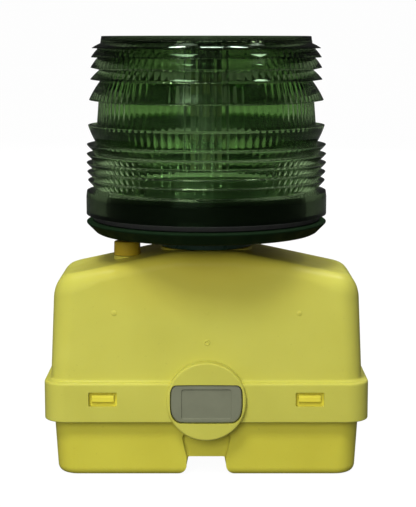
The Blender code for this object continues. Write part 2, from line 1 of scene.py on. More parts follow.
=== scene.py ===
"""The looks of a portable signal lamp: a green Fresnel drum lens on a yellow battery case.

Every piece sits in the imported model's own frame, in metres. The shapes below are written in
millimetres, and MM turns them into metres.
"""

import json
import math

import bmesh
import bpy
import numpy as np
from mathutils import Matrix, Vector


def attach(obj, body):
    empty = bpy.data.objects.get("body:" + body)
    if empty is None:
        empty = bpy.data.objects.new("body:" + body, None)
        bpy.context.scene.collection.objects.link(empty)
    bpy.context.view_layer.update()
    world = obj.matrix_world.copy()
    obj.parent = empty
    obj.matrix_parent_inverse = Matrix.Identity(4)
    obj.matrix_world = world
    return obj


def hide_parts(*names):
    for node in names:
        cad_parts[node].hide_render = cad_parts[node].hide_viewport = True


MM = 0.001
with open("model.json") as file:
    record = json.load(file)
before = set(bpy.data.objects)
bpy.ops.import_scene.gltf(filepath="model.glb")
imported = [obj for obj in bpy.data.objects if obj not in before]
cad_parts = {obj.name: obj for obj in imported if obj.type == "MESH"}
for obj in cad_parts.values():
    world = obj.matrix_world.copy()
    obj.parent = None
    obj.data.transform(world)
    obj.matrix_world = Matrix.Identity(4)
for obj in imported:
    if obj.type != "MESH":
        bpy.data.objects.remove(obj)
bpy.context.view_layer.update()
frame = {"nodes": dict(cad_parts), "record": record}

# Sizes that several pieces share, in millimetres.
ROOF_Z = 137.0
ROOF_FLAT_HALF = 18.5
ROOF_SLOPE = math.tan(math.radians(12.1))
ROOF_EDGE = (92.9, 36.4)
ROOF_EDGE_RADIUS = 9.0
CASE_CORNER = 14.0
CLEAR_ABOVE = 145.0
SKIRT = (98.5, 44.0)
SKIRT_Z = (34.7, 59.0)
SKIRT_WALL = 2.9
LEDGE_DEPTH = 6.8
LEDGE_UNDERSIDE = 56.1
CASE_WALL = 2.5
TRAY_TOP = 54.5
BOSS_Z = 48.2
BOSS_RADIUS = 24.0
BUTTON_RIGHT_SIDE = (
    (14.8, -13.1), (17.2, -12.5), (19.4, -10.6), (20.8, -7.8), (21.4, -4.4),
    (21.5, 1.0), (21.3, 5.6), (20.7, 8.0), (19.4, 9.6), (17.3, 10.1),
)
TAB_X = 62.3
TAB_AXIS = (39.6, 39.4)
SWITCH_AT = (-49.0, -3.5)
SWITCH_SEAT = 131.2
STEM_BORE = 8.4
FLUTES = 90


# Shapes.


def shade(mesh):
    mesh.shade_smooth()
    mesh.set_sharp_from_angle(angle=math.radians(35.0))


def add(name, mesh):
    obj = bpy.data.objects.new(name, mesh)
    bpy.context.scene.collection.objects.link(obj)
    shade(mesh)
    return obj


def fillet(points, radius, steps=3, closed=False):
    """The polyline with each corner rounded. The radius is a number or one for each point."""
    count = len(points)
    radii = [radius] * count if isinstance(radius, (int, float)) else list(radius)
    out = []
    for i, here in enumerate(points):
        at_end = not closed and i in (0, count - 1)
        if at_end or radii[i] <= 0:
            out.append(tuple(here))
            continue
        corner = Vector(here)
        to_last = Vector(points[i - 1]) - corner
        to_next = Vector(points[(i + 1) % count]) - corner
        half_angle = to_last.angle(to_next) / 2
        if half_angle > math.radians(88):
            out.append(tuple(here))
            continue
        reach = min(radii[i] / math.tan(half_angle), to_last.length * 0.45, to_next.length * 0.45)
        first = corner + to_last.normalized() * reach
        last = corner + to_next.normalized() * reach
        for step in range(steps + 1):
            t = step / steps
            out.append(tuple(first.lerp(corner, t).lerp(corner.lerp(last, t), t)))
    return out


def lathe(name, outline, steps=192, at=(0.0, 0.0), wave=None, along_y=False):
    """A turned solid from a closed outline of (radius, height), or an open one that ends on the axis.

    The wave gives an outline point's radius at every angle.
    """
    on_axis = outline[0][0] == 0
    body = outline[1:-1] if on_axis else outline
    angles = np.linspace(0.0, 2 * math.pi, steps, endpoint=False)
    radii = np.array([[p[0]] * steps for p in body])
    if wave:
        radii = np.array([wave(p[0], p[1], angles) for p in body])
    heights = np.array([[p[1]] * steps for p in body])
    points = np.stack((radii * np.cos(angles), radii * np.sin(angles), heights), axis=-1).reshape(-1, 3)
    points = [tuple(p) for p in points]
    faces = []
    rows = len(body)
    for row in range(rows - 1 if on_axis else rows):
        below = (row + 1) % rows
        for i in range(steps):
            j = (i + 1) % steps
            faces.append((row * steps + i, below * steps + i, below * steps + j, row * steps + j))
    if on_axis:
        for row, height in ((0, outline[0][1]), (rows - 1, outline[-1][1])):
            centre = len(points)
            points.append((0.0, 0.0, height))
            for i in range(steps):
                faces.append((centre, row * steps + i, row * steps + (i + 1) % steps))
    points = np.array(points) * MM
    if along_y:
        points = points @ np.array(Matrix.Rotation(math.radians(90), 3, "X")).T
        points += np.array((at[0], 0.0, at[1])) * MM
    else:
        points += np.array((at[0], at[1], 0.0)) * MM
    mesh = bpy.data.meshes.new(name)
    mesh.from_pydata(points.tolist(), [], faces)
    return add(name, outward(mesh))


def outward(mesh):
    bm = bmesh.new()
    bm.from_mesh(mesh)
    bmesh.ops.recalc_face_normals(bm, faces=bm.faces)
    bm.to_mesh(mesh)
    bm.free()
    return mesh


def section(half_width, half_depth, radius, height, stations=(), corner_steps=12):
    """One loop round a rounded rectangle: the front from right to left, then the back."""
    quarter = [math.radians(90 * step / corner_steps) for step in range(corner_steps + 1)]
    inner_x = half_width - radius
    inner_y = half_depth - radius
    right = [(inner_x + radius * math.cos(a), -inner_y - radius * math.sin(a)) for a in quarter]
    left = [(-x, y) for x, y in reversed(right)]
    front = right + [(x, -half_depth) for x in sorted(stations, reverse=True)] + left
    back = [(x, -y) for x, y in reversed(front)]
    level = height if callable(height) else lambda x: height
    return [(x, y, level(x)) for x, y in front + back]


def loft(name, sections):
    """A closed solid through loops of equal count, capped by strips that run from front to back."""
    bm = bmesh.new()
    loops = [[bm.verts.new(Vector(point) * MM) for point in loop] for loop in sections]
    count = len(loops[0])
    for lower, upper in zip(loops, loops[1:]):
        for i in range(count):
            j = (i + 1) % count
            bm.faces.new((lower[i], lower[j], upper[j], upper[i]))
    for loop in (loops[0], loops[-1]):
        for i in range(count // 2 - 1):
            bm.faces.new((loop[i], loop[i + 1], loop[count - 2 - i], loop[count - 1 - i]))
    bmesh.ops.recalc_face_normals(bm, faces=bm.faces)
    mesh = bpy.data.meshes.new(name)
    bm.to_mesh(mesh)
    bm.free()
    return add(name, mesh)


def extrude(name, outline, low, high, axis="Z", edge=0.0, edge_steps=3):
    """A flat outline made thick from low to high along an axis, with its two rims rounded.

    The outline is (x, y) for Z, (x, z) for Y and (y, z) for X.
    """
    place = {
        "Z": lambda u, v, w: (u, v, w),
        "Y": lambda u, v, w: (u, w, v),
        "X": lambda u, v, w: (w, u, v),
    }[axis]
    bm = bmesh.new()
    base = [bm.verts.new(Vector(place(u, v, low)) * MM) for u, v in outline]
    bottom = bm.faces.new(base)
    moved = bmesh.ops.extrude_face_region(bm, geom=[bottom])["geom"]
    shift = Vector(place(0, 0, high - low)) * MM
    bmesh.ops.translate(bm, vec=shift, verts=[g for g in moved if isinstance(g, bmesh.types.BMVert)])
    bmesh.ops.recalc_face_normals(bm, faces=bm.faces)
    if edge:
        caps = [f for f in bm.faces if len(f.verts) == len(outline)]
        rims = list({e for f in caps for e in f.edges})
        bmesh.ops.bevel(
            bm, geom=rims, offset=edge * MM, segments=edge_steps, profile=0.5, affect="EDGES",
            clamp_overlap=True,
        )
    mesh = bpy.data.meshes.new(name)
    bm.to_mesh(mesh)
    bm.free()
    return add(name, mesh)


def rounded_box_outline(half_u, half_v, radius, at=(0.0, 0.0), steps=6):
    corners = ((1, 1, 0), (-1, 1, 90), (-1, -1, 180), (1, -1, 270))
    points = []
    for side_u, side_v, start in corners:
        for step in range(steps + 1):
            a = math.radians(start + 90 * step / steps)
            points.append(
                (
                    at[0] + side_u * (half_u - radius) + radius * math.cos(a),
                    at[1] + side_v * (half_v - radius) + radius * math.sin(a),
                )
            )
    return points


def apply_boolean(obj, tools, operation):
    """Adds or takes away the tools and removes them."""
    for tool in tools:
        modifier = obj.modifiers.new("shape", "BOOLEAN")
        modifier.operation = operation
        modifier.solver = "EXACT"
        modifier.object = tool
    bpy.context.view_layer.update()
    seen = obj.evaluated_get(bpy.context.evaluated_depsgraph_get())
    mesh = bpy.data.meshes.new_from_object(seen)
    obj.modifiers.clear()
    old = obj.data
    obj.data = mesh
    bpy.data.meshes.remove(old)
    for tool in tools:
        bpy.data.objects.remove(tool)
    shade(mesh)


def cut(obj, *tools):
    apply_boolean(obj, tools, "DIFFERENCE")


def join(obj, *tools):
    apply_boolean(obj, tools, "UNION")


def three_round_the_axis(make, start=0.0):
    """Three copies of a shape made behind the lens's axis, turned round it in equal steps."""
    copies = []
    for i in range(3):
        copy = make()
        copy.rotation_euler.z = math.radians(start + 120.0 * i)
        copies.append(copy)
    return copies


# Materials.


def new_material(name):
    material = bpy.data.materials.new(name)
    material.use_nodes = True
    tree = material.node_tree
    return material, tree, tree.nodes["Principled BSDF"]


def place_in_model(tree):
    return tree.nodes.new("ShaderNodeTexCoord").outputs["Object"]


def coordinates(tree):
    """The X, Y and Z of a place in the model, as separate numbers."""
    parts = tree.nodes.new("ShaderNodeSeparateXYZ")
    tree.links.new(place_in_model(tree), parts.inputs["Vector"])
    return parts.outputs


def arithmetic(tree, operation, first, second=None):
    step = tree.nodes.new("ShaderNodeMath")
    step.operation = operation
    tree.links.new(first, step.inputs[0])
    if isinstance(second, float):
        step.inputs[1].default_value = second
    elif second:
        tree.links.new(second, step.inputs[1])
    return step.outputs["Value"]


def noise(tree, scale, detail=4.0):
    """Noise in the model's own coordinates, so that it doesn't slide or stretch with a view."""
    texture = tree.nodes.new("ShaderNodeTexNoise")
    texture.inputs["Scale"].default_value = scale
    texture.inputs["Detail"].default_value = detail
    texture.inputs["Roughness"].default_value = 0.55
    tree.links.new(place_in_model(tree), texture.inputs["Vector"])
    return texture.outputs["Fac"]


def remap(tree, value, low, high, to_low, to_high):
    ranged = tree.nodes.new("ShaderNodeMapRange")
    ranged.inputs["From Min"].default_value = low
    ranged.inputs["From Max"].default_value = high
    ranged.inputs["To Min"].default_value = to_low
    ranged.inputs["To Max"].default_value = to_high
    tree.links.new(value, ranged.inputs["Value"])
    return ranged.outputs["Result"]


def mix_colour(tree, factor, first, second):
    mixed = tree.nodes.new("ShaderNodeMix")
    mixed.data_type = "RGBA"
    tree.links.new(factor, mixed.inputs["Factor"])
    for socket, colour in ((mixed.inputs["A"], first), (mixed.inputs["B"], second)):
        if isinstance(colour, tuple):
            socket.default_value = (*colour, 1.0)
        else:
            tree.links.new(colour, socket)
    return mixed.outputs["Result"]


def bump(tree, shader, height, strength, distance, below=None):
    made = tree.nodes.new("ShaderNodeBump")
    made.inputs["Strength"].default_value = strength
    made.inputs["Distance"].default_value = distance
    tree.links.new(height, made.inputs["Height"])
    if below:
        tree.links.new(below, made.inputs["Normal"])
    tree.links.new(made.outputs["Normal"], shader.inputs["Normal"])
    return made.outputs["Normal"]


def moulded_plastic(name, colour, dull, rough=(0.36, 0.5), grain=0.12, neck_shade=None):
    """Moulded polypropylene: an even colour with faint clouding, rubbed gloss and a fine orange peel."""
    material, tree, shader = new_material(name)
    clouds = noise(tree, 22.0, detail=3.0)
    base = mix_colour(tree, remap(tree, clouds, 0.35, 0.7, 0.0, 1.0), colour, dull)
    specks = noise(tree, 420.0, detail=2.0)
    # Darker specks of dirt, scattered at random.
    dirt_and_shade_tone = tuple(c * 0.72 for c in dull)
    base = mix_colour(tree, remap(tree, specks, 0.70, 0.78, 0.0, 0.35), base, dirt_and_shade_tone)
    # Painted shade on the roof round the neck, under the lens.
    if neck_shade:
        base = painted_shade_near_neck(tree, base, neck_shade)
    tree.links.new(base, shader.inputs["Base Color"])
    rubbed = remap(tree, noise(tree, 60.0, detail=5.0), 0.3, 0.7, *rough)
    tree.links.new(rubbed, shader.inputs["Roughness"])
    shader.inputs["IOR"].default_value = 1.49
    shader.inputs["Subsurface Weight"].default_value = 0.12
    shader.inputs["Subsurface Radius"].default_value = (0.004, 0.003, 0.001)
    shader.inputs["Subsurface Scale"].default_value = 0.5
    peel = bump(tree, shader, noise(tree, 900.0, detail=2.0), grain, 0.0002)
    bump(tree, shader, noise(tree, 70.0, detail=2.0), 0.1, 0.0008, below=peel)
    return material


def by_height(tree, low, high, at_low, at_high):
    """A number that changes with the height in the model, between two heights in millimetres."""
    return remap(tree, coordinates(tree)["Z"], low * MM, high * MM, at_low, at_high)


def by_radius(tree, low, high, at_low, at_high):
    """A number that changes with the distance from the lens's axis, between two distances in millimetres."""
    flat = tree.nodes.new("ShaderNodeVectorMath")
    flat.operation = "MULTIPLY"
    flat.inputs[1].default_value = (1.0, 1.0, 0.0)
    tree.links.new(place_in_model(tree), flat.inputs[0])
    reach = tree.nodes.new("ShaderNodeVectorMath")
    reach.operation = "LENGTH"
    tree.links.new(flat.outputs["Vector"], reach.inputs[0])
    return remap(tree, reach.outputs["Value"], low * MM, high * MM, at_low, at_high)


def flute_thickness(tree):
    """A number from 0 in the valley of each flute to 1 on its ridge."""
    parts = coordinates(tree)
    angle = arithmetic(tree, "ARCTAN2", parts["Y"], parts["X"])
    ripple = arithmetic(tree, "COSINE", arithmetic(tree, "MULTIPLY", angle, float(FLUTES)))
    return remap(tree, ripple, -1.0, 1.0, 0.0, 1.0)


def tinted_clear(name, colour, roughness):
    """Clear tinted plastic. Its tint is deeper where the moulding is thicker, on each flute.

    Out in the teeth, in the flange and towards the top the tint goes near black: a thick moulding's deeper
    tint, darkened further as painted shade. Below about 222 mm the tint is lightened as painted light.
    """
    material, tree, shader = new_material(name)
    deeper = tuple(c * 0.66 for c in colour)
    thick_tint_and_painted_shade = tuple(c * 0.08 for c in colour)
    lower_painted_light = tuple(c * 1.6 for c in colour)
    base = mix_colour(tree, flute_thickness(tree), colour, deeper)
    # Painted light: the lower part of the lens, below about 222 mm, is lightened.
    base = mix_colour(tree, by_height(tree, 198.0, 222.0, 1.0, 0.0), base, lower_painted_light)
    # A thick moulding's deeper tint, taken near black as painted shade: out in the teeth, in the flange and
    # towards the top.
    base = mix_colour(tree, by_radius(tree, 67.5, 72.5, 0.0, 0.5), base, thick_tint_and_painted_shade)
    base = mix_colour(tree, by_height(tree, 168.0, 174.0, 1.0, 0.0), base, thick_tint_and_painted_shade)
    base = mix_colour(tree, by_height(tree, 234.0, 259.0, 0.0, 0.93), base, thick_tint_and_painted_shade)
    tree.links.new(base, shader.inputs["Base Color"])
    smeared = remap(tree, noise(tree, 90.0), 0.3, 0.8, roughness * 0.6, roughness * 1.8)
    tree.links.new(smeared, shader.inputs["Roughness"])
    shader.inputs["Transmission Weight"].default_value = 1.0
    shader.inputs["IOR"].default_value = 1.49
    shader.inputs["Specular Tint"].default_value = (0.5, 0.85, 0.45, 1.0)
    return material


def painted_shade_near_neck(tree, colour, dirt_and_shade_tone):
    """The colour darkened on the roof round the neck: painted shade under the lens."""
    near_neck = by_radius(tree, 35.0, 85.0, 0.75, 0.0)
    on_roof = by_height(tree, 95.0, 128.0, 0.0, 1.0)
    return mix_colour(tree, arithmetic(tree, "MULTIPLY", near_neck, on_roof), colour, dirt_and_shade_tone)


def plain_finish(name, colour, roughness, metallic=0.0, grain=0.1, scale=300.0, specular=0.5, above=None):
    """A faintly clouded surface. The last argument may give a height and another colour from there up."""
    material, tree, shader = new_material(name)
    clouds = noise(tree, scale / 6, detail=3.0)
    darker = tuple(c * 0.8 for c in colour)
    base = mix_colour(tree, clouds, colour, darker)
    if above:
        level, upper = above
        base = mix_colour(tree, by_height(tree, level - 0.5, level + 0.5, 0.0, 1.0), base, upper)
    tree.links.new(base, shader.inputs["Base Color"])
    rubbed = remap(tree, noise(tree, scale / 3), 0.3, 0.7, roughness * 0.85, roughness * 1.2)
    tree.links.new(rubbed, shader.inputs["Roughness"])
    shader.inputs["Metallic"].default_value = metallic
    shader.inputs["Specular IOR Level"].default_value = specular
    bump(tree, shader, noise(tree, scale, detail=2.0), grain, 0.0002)
    return material


FINISHES = {
    "case_yellow": moulded_plastic(
        "case_yellow", (0.54, 0.52, 0.088), (0.50, 0.48, 0.076),
        # The last colour is painted shade on the roof round the neck, under the lens.
        rough=(0.28, 0.42), neck_shade=(0.50, 0.41, 0.035),
    ),
    "tray_yellow": moulded_plastic("tray_yellow", (0.62, 0.575, 0.062), (0.57, 0.52, 0.052)),
    "tab_yellow": moulded_plastic("tab_yellow", (0.76, 0.68, 0.065), (0.70, 0.61, 0.055)),
    # The knob's darker, browner yellow than the case is painted shade from the lens above it.
    "knob_yellow": moulded_plastic("knob_yellow", (0.48, 0.34, 0.018), (0.40, 0.28, 0.014)),
    "latch_grey": plain_finish("latch_grey", (0.20, 0.21, 0.14), 0.5, grain=0.3, scale=500.0),
    "lens_green": tinted_clear("lens_green", (0.265, 0.41, 0.19), roughness=0.06),
    "dish_green": plain_finish("dish_green", (0.006, 0.016, 0.006), 0.75, specular=0.05),
    "neck_dark_green": plain_finish("neck_dark_green", (0.014, 0.05, 0.03), 0.3),
    "gasket_rubber": plain_finish("gasket_rubber", (0.012, 0.012, 0.012), 0.7),
    "lamp_black": plain_finish("lamp_black", (0.01, 0.01, 0.01), 0.6, specular=0.2),
    # The lamp's white parts are painted dark grey, and near black on the tower above 206 mm, and the
    # emitters are darkened too: painted shade inside the lens.
    "lamp_white": plain_finish("lamp_white", (0.16, 0.18, 0.15), 0.6, above=(206.0, (0.05, 0.06, 0.05))),
    "led_emitter": plain_finish("led_emitter", (0.09, 0.10, 0.06), 0.3),
    "spring_steel": plain_finish("spring_steel", (0.6, 0.6, 0.6), 0.3, metallic=1.0),
    "screw_steel": plain_finish("screw_steel", (0.55, 0.55, 0.55), 0.35, metallic=1.0),
    "stem_steel": plain_finish("stem_steel", (0.5, 0.5, 0.5), 0.35, metallic=1.0),
    "contact_brass": plain_finish("contact_brass", (0.75, 0.52, 0.2), 0.3, metallic=1.0),
    "battery_jacket": plain_finish("battery_jacket", (0.03, 0.06, 0.2), 0.35),
    "battery_cover": plain_finish("battery_cover", (0.02, 0.02, 0.02), 0.5),
    "circuit_board": plain_finish("circuit_board", (0.02, 0.13, 0.05), 0.4),
    "switch_black": plain_finish("switch_black", (0.015, 0.015, 0.015), 0.45),
    "capacitor_sleeve": plain_finish("capacitor_sleeve", (0.02, 0.03, 0.12), 0.3),
    "lead_red": plain_finish("lead_red", (0.5, 0.02, 0.02), 0.4),
    "lead_black": plain_finish("lead_black", (0.015, 0.015, 0.015), 0.4),
}


def piece(obj, body, slot, *nodes):
    """Gives a finished shape its finish, its body and the CAD nodes that it stands for."""
    obj.data.materials.clear()
    obj.data.materials.append(FINISHES[slot])
    even = obj.modifiers.new("even shading", "WEIGHTED_NORMAL")
    even.keep_sharp = True
    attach(obj, body)
    if nodes:
        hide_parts(*nodes)


# The camera, at the photograph's viewing angle.

CAMERA_AT = (0.001, -0.90, 0.2617)
CAMERA_DOWN = 8.237
CAMERA_LENS = 103.74


def make_camera():
    data = bpy.data.cameras.new("camera")
    data.lens = CAMERA_LENS
    data.sensor_width = 36.0
    camera = bpy.data.objects.new("camera", data)
    camera.location = CAMERA_AT
    camera.rotation_euler = (math.radians(90.0 - CAMERA_DOWN), 0.0, 0.0)
    bpy.context.scene.collection.objects.link(camera)
    bpy.context.scene.camera = camera


def area_light(name, place, target, size, energy, size_y=None, mirrored=True, seen_through_lens=True):
    data = bpy.data.lights.new(name, "AREA")
    data.shape = "RECTANGLE"
    data.size = size
    data.size_y = size_y or size
    data.energy = energy
    light = bpy.data.objects.new(name, data)
    light.visible_glossy = mirrored
    light.visible_transmission = seen_through_lens
    light.location = place
    towards = Vector(target) - Vector(place)
    light.rotation_euler = towards.to_track_quat("-Z", "Y").to_euler()
    bpy.context.scene.collection.objects.link(light)


def by_ray(tree, otherwise, **seen):
    """One number for each named kind of ray, and another for all other light."""
    path = tree.nodes.new("ShaderNodeLightPath")
    result = otherwise
    for kind, value in seen.items():
        mixed = tree.nodes.new("ShaderNodeMix")
        tree.links.new(path.outputs[f"Is {kind.title()} Ray"], mixed.inputs["Factor"])
        if isinstance(result, float):
            mixed.inputs["A"].default_value = result
        else:
            tree.links.new(result, mixed.inputs["A"])
        mixed.inputs["B"].default_value = value
        result = mixed.outputs["Result"]
    return result


# The studio.

AMBIENT = 0.30
BACKDROP = 0.985
RIM_RADIANCE = 35.0
RIM_HEIGHT = 0.07
MIDDLE = (0.0, 0.0, 0.1)
LENS_FRONT = (0.0, -0.07, 0.24)


def make_world():
    world = bpy.data.worlds.new("studio")
    bpy.context.scene.world = world
    world.use_nodes = True
    tree = world.node_tree
    background = tree.nodes["Background"]
    background.inputs["Color"].default_value = (1.0, 1.0, 1.0, 1.0)
    strength = by_ray(tree, AMBIENT, transmission=1.0, glossy=0.03, camera=BACKDROP)
    tree.links.new(strength, background.inputs["Strength"])


def make_floor():
    """A plain white floor that runs into the white backdrop and takes a soft shadow."""
    bpy.ops.mesh.primitive_plane_add(size=30.0, location=(0, 0, -0.0003))
    floor = bpy.context.object
    floor.name = "floor"
    material, tree, shader = new_material("floor")
    shader.inputs["Base Color"].default_value = (0.07, 0.07, 0.07, 1.0)
    shader.inputs["Roughness"].default_value = 1.0
    shader.inputs["Specular IOR Level"].default_value = 0.0
    shader.inputs["Emission Color"].default_value = (1.0, 1.0, 1.0, 1.0)
    tree.links.new(by_ray(tree, 0.0, transmission=0.9, camera=0.965), shader.inputs["Emission Strength"])
    floor.data.materials.append(material)


def make_studio():
    make_world()
    make_floor()
    area_light("key", (-0.33, -0.83, 1.24), (0.0, 0.0, 0.2), 0.35, 11.0, mirrored=False)
    area_light("front", (-0.5, -2.2, 0.9), MIDDLE, 1.4, 35.0, mirrored=False)
    area_light("back", (0.6, 2.2, 1.1), MIDDLE, 1.4, 20.0, mirrored=False, seen_through_lens=False)
    area_light("glint_left", (-0.30, -0.34, 1.376), LENS_FRONT, 0.34, 3.0, size_y=0.2)
    area_light("glint_right", (0.66, -0.06, 1.265), LENS_FRONT, 0.26, 2.2, size_y=0.16)
    rims = (
        ("rim_left", (-0.20, 0.50, 1.33), 0.11),
        ("rim_middle", (0.04, 0.42, 1.38), 0.16),
        ("rim_right", (0.23, 0.50, 1.33), 0.14),
    )
    for name, place, width in rims:
        energy = RIM_RADIANCE * width * RIM_HEIGHT * math.pi
        area_light(name, place, (0.0, -0.07, 0.26), width, energy, size_y=RIM_HEIGHT)
    view = bpy.context.scene.view_settings
    view.view_transform = "Standard"
    view.look = "None"


# The upper case.

ROOF_STATIONS = tuple(4.5 * step for step in range(-16, 17))


def roof(x):
    """The roof's level part, its sloped ends and the soft bend between them."""
    bend = 5.0  # How far it reaches to each side of the corner that it rounds.
    beyond = abs(x) - ROOF_FLAT_HALF
    if beyond < -bend:
        fall = 0.0
    elif beyond > bend:
        fall = beyond
    else:
        fall = (beyond + bend) ** 2 / (4 * bend)
    return ROOF_Z - ROOF_SLOPE * fall


def roof_edge(inset, steps):
    """Loops over the rounded edge of the roof, from the top of the walls to the roof's flat."""
    loops = []
    radius = ROOF_EDGE_RADIUS - inset
    for step in range(steps + 1):
        angle = math.radians(90 * step / steps)
        inwards = radius * (1 - math.cos(angle))
        drop_share = 1 - math.sin(angle)

        def height(x, drop_share=drop_share):
            # The edge grows rounder from 60 to 80 mm out from the middle.
            towards_end = min(1.0, max(0.0, (abs(x) - 60.0) / 20.0))
            towards_end = towards_end * towards_end * (3 - 2 * towards_end)
            return roof(x) - inset - (radius + 5.0 * towards_end) * drop_share

        half_width, half_depth = (half - inset - inwards for half in ROOF_EDGE)
        loops.append(section(half_width, half_depth, CASE_CORNER - inset - inwards, height, ROOF_STATIONS))
    return loops


def between(lower, upper, steps):
    """The loops between two loops, evenly spaced."""
    low, high = np.array(lower), np.array(upper)
    return [(low + (high - low) * step / steps).tolist() for step in range(1, steps)]


def skirt_loops():
    """Loops from inside the skirt, down and round its lower edge, and up to the foot of the wall."""
    low, high = SKIRT_Z
    profile = fillet(
        [(-LEDGE_DEPTH, LEDGE_UNDERSIDE), (-SKIRT_WALL, LEDGE_UNDERSIDE), (-SKIRT_WALL, low), (0.0, low),
         (0.0, high), (-4.0, high), (-4.2, high + 8.0)],
        [0, 0.4, 0.5, 0.9, 2.0, 3.2, 0],
        steps=5,
    )
    half_width, half_depth = SKIRT
    return [
        section(half_width + out, half_depth + out, CASE_CORNER + out * 0.4, z, ROOF_STATIONS)
        for out, z in profile
    ]


def case_shell():
    """One loft: down the inside to the skirt's lower edge, then up the outside. Tall steps are divided."""
    inner, skirt, outer = roof_edge(CASE_WALL, 6), skirt_loops(), roof_edge(0.0, 14)
    ledge = 6
    loops = list(reversed(inner)) + skirt[:ledge]
    for lower, upper in zip(skirt[ledge - 1:], skirt[ledge:]):
        tall = abs(upper[0][2] - lower[0][2]) > 8.0
        loops += between(lower, upper, 5) * tall + [upper]
    loops += between(skirt[-1], outer[0], 12) + outer
    return loft("case_shell", loops)


def boss():
    """The round latch boss. Its foot flares softly into the skirt and the wall."""
    outline = fillet(
        [(0.0, -47.0), (BOSS_RADIUS, -47.0), (BOSS_RADIUS, -40.0), (0.0, -40.0)],
        [0, 1.4, 0, 0],
        steps=5,
    )
    return lathe("boss", [(r, -y) for r, y in outline], steps=128, at=(0.0, BOSS_Z), along_y=True)


def smoothed(points, rounds):
    """A closed outline with its corners worn off."""
    for _ in range(rounds):
        following = points[1:] + points[:1]
        pairs = [((3 * ax + bx) / 4, (3 * ay + by) / 4, (ax + 3 * bx) / 4, (ay + 3 * by) / 4)
                 for (ax, ay), (bx, by) in zip(points, following)]
        points = [point for a, b, c, d in pairs for point in ((a, b), (c, d))]
    return points


def button_outline(grown=0.0):
    """The latch button's rounded outline, or a larger one for its opening."""
    right = [(x + grown, z + math.copysign(grown, z) + BOSS_Z) for x, z in BUTTON_RIGHT_SIDE]
    return smoothed(right + [(-x, z) for x, z in reversed(right)], rounds=2)


def clipped_disc(radius, low, high, steps=24, corner=2.2):
    """A circle round the boss's centre, cut off by a level line below it and one above it."""
    first, last = math.asin(low / radius), math.asin(high / radius)
    angles = [first + (last - first) * step / steps for step in range(steps + 1)]
    right = [(radius * math.cos(a), radius * math.sin(a)) for a in angles]
    outline = right + [(-x, z) for x, z in reversed(right)]
    ends = {0, len(right) - 1, len(right), len(outline) - 1}
    radii = [corner if i in ends else 0 for i in range(len(outline))]
    return [(x, z + BOSS_Z) for x, z in fillet(outline, radii, steps=5, closed=True)]


def drill(name, radius, bottom, steps, at=(0.0, 0.0)):
    """A round tool that reaches from above the roof down to a level."""
    outline = [(0, CLEAR_ABOVE), (radius, CLEAR_ABOVE), (radius, bottom), (0, bottom)]
    return lathe(name, outline, steps, at=at)


def upper_case():
    case = case_shell()
    join(case, boss())
    tools = [extrude("pocket", button_outline(0.4), -50.0, -38.3, axis="Y")]
    for x in (-TAB_X, TAB_X):
        for side in (-1, 1):
            window = rounded_box_outline(8.6, 4.4, 0.9, at=(x, 49.0))
            span = sorted((side * 50.0, side * 39.9))
            tools.append(extrude("window", window, *span, axis="Y"))
            groove = rounded_box_outline(7.4, 8.0, 0.3, at=(x, 37.0))
            span = sorted((side * 43.0, side * 40.0))
            tools.append(extrude("groove", groove, *span, axis="Y"))
    cut(case, *tools)
    top = SWITCH_SEAT
    seat = [(0, top), (7.9, top), (8.25, top - 0.3), (8.25, 126.6), (0, 126.6)]
    neck_seat = [(0, ROOF_Z), (28.1, ROOF_Z), (28.4, ROOF_Z - 0.3), (28.4, 134.7), (0, 134.7)]
    join(case, lathe("switch_seat", seat, 64, at=SWITCH_AT), lathe("neck_seat", neck_seat, 128))
    cut(case, drill("spotface", 8.7, top, 64, at=SWITCH_AT))
    cut(case, drill("switch_bore", 3.5, 120.0, 32, at=SWITCH_AT))
    cut(case, drill("stem_bore", STEM_BORE, 125.0, 48))
    sprue = [(0, 38.8), (0.8, 38.9), (1.2, 39.4), (1.7, 39.3), (2.1, 38.6), (2.2, 37.0), (0, 37.0)]
    join(case, lathe("sprue_mark", sprue, 24, at=(0.4, 82.8), along_y=True))
    piece(case, "case", "case_yellow", "upper_case")
    pip = [(0, 38.1), (1.2, 37.95), (1.9, 37.6), (2.1, 36.6), (0, 36.6)]
    for hand, x in (("left", -55.4), ("middle", 0.4), ("right", 55.8)):
        mark = lathe(f"ejector_pip_{hand}", pip, 24, at=(x, 100.4), along_y=True)
        piece(mark, "case", "case_yellow")


# The battery tray, its tabs and the latch button.

TRAY_SHOULDER = (93.1, 37.5, 35.4)
TRAY_RIM = (95.1, 40.8)
WELL_INNER_X = 18.6


def base_arch():
    """The outline of the way through under the middle of the tray, with its feet curved outwards."""
    half_width, ceiling, foot_radius = 11.0, 11.0, 6.4
    foot_x = half_width + 1.0 + foot_radius
    angles = [math.radians(90 * step / 10) for step in range(11)]
    left = [(-foot_x, -2.0)]
    left += [(-foot_x + foot_radius * math.sin(a), foot_radius * (1 - math.cos(a))) for a in angles]
    left += [(-half_width, ceiling)]
    return left + [(-x, z) for x, z in reversed(left)]


def tray_shell():
    """The feet lean out a little up to the shoulder, where the rim that hides inside the skirt begins."""
    shoulder_x, shoulder_y, shoulder_z = TRAY_SHOULDER
    loops = []
    for angle in np.radians(np.linspace(0, 90, 9)):
        inwards = 4.1 * (1 - math.sin(angle))
        z = 5.0 * (1 - math.cos(angle))
        loops.append(section(91.3 - inwards, 36.2 - inwards * 0.9, 12.0 - inwards * 0.7, z, ROOF_STATIONS))
    shoulder = section(shoulder_x, shoulder_y, 13.0, shoulder_z, ROOF_STATIONS)
    loops += between(loops[-1], shoulder, 8) + [shoulder]
    loops += [section(*TRAY_RIM, 10.8, height, ROOF_STATIONS) for height in (37.4, TRAY_TOP)]
    return loft("tray_shell", loops)


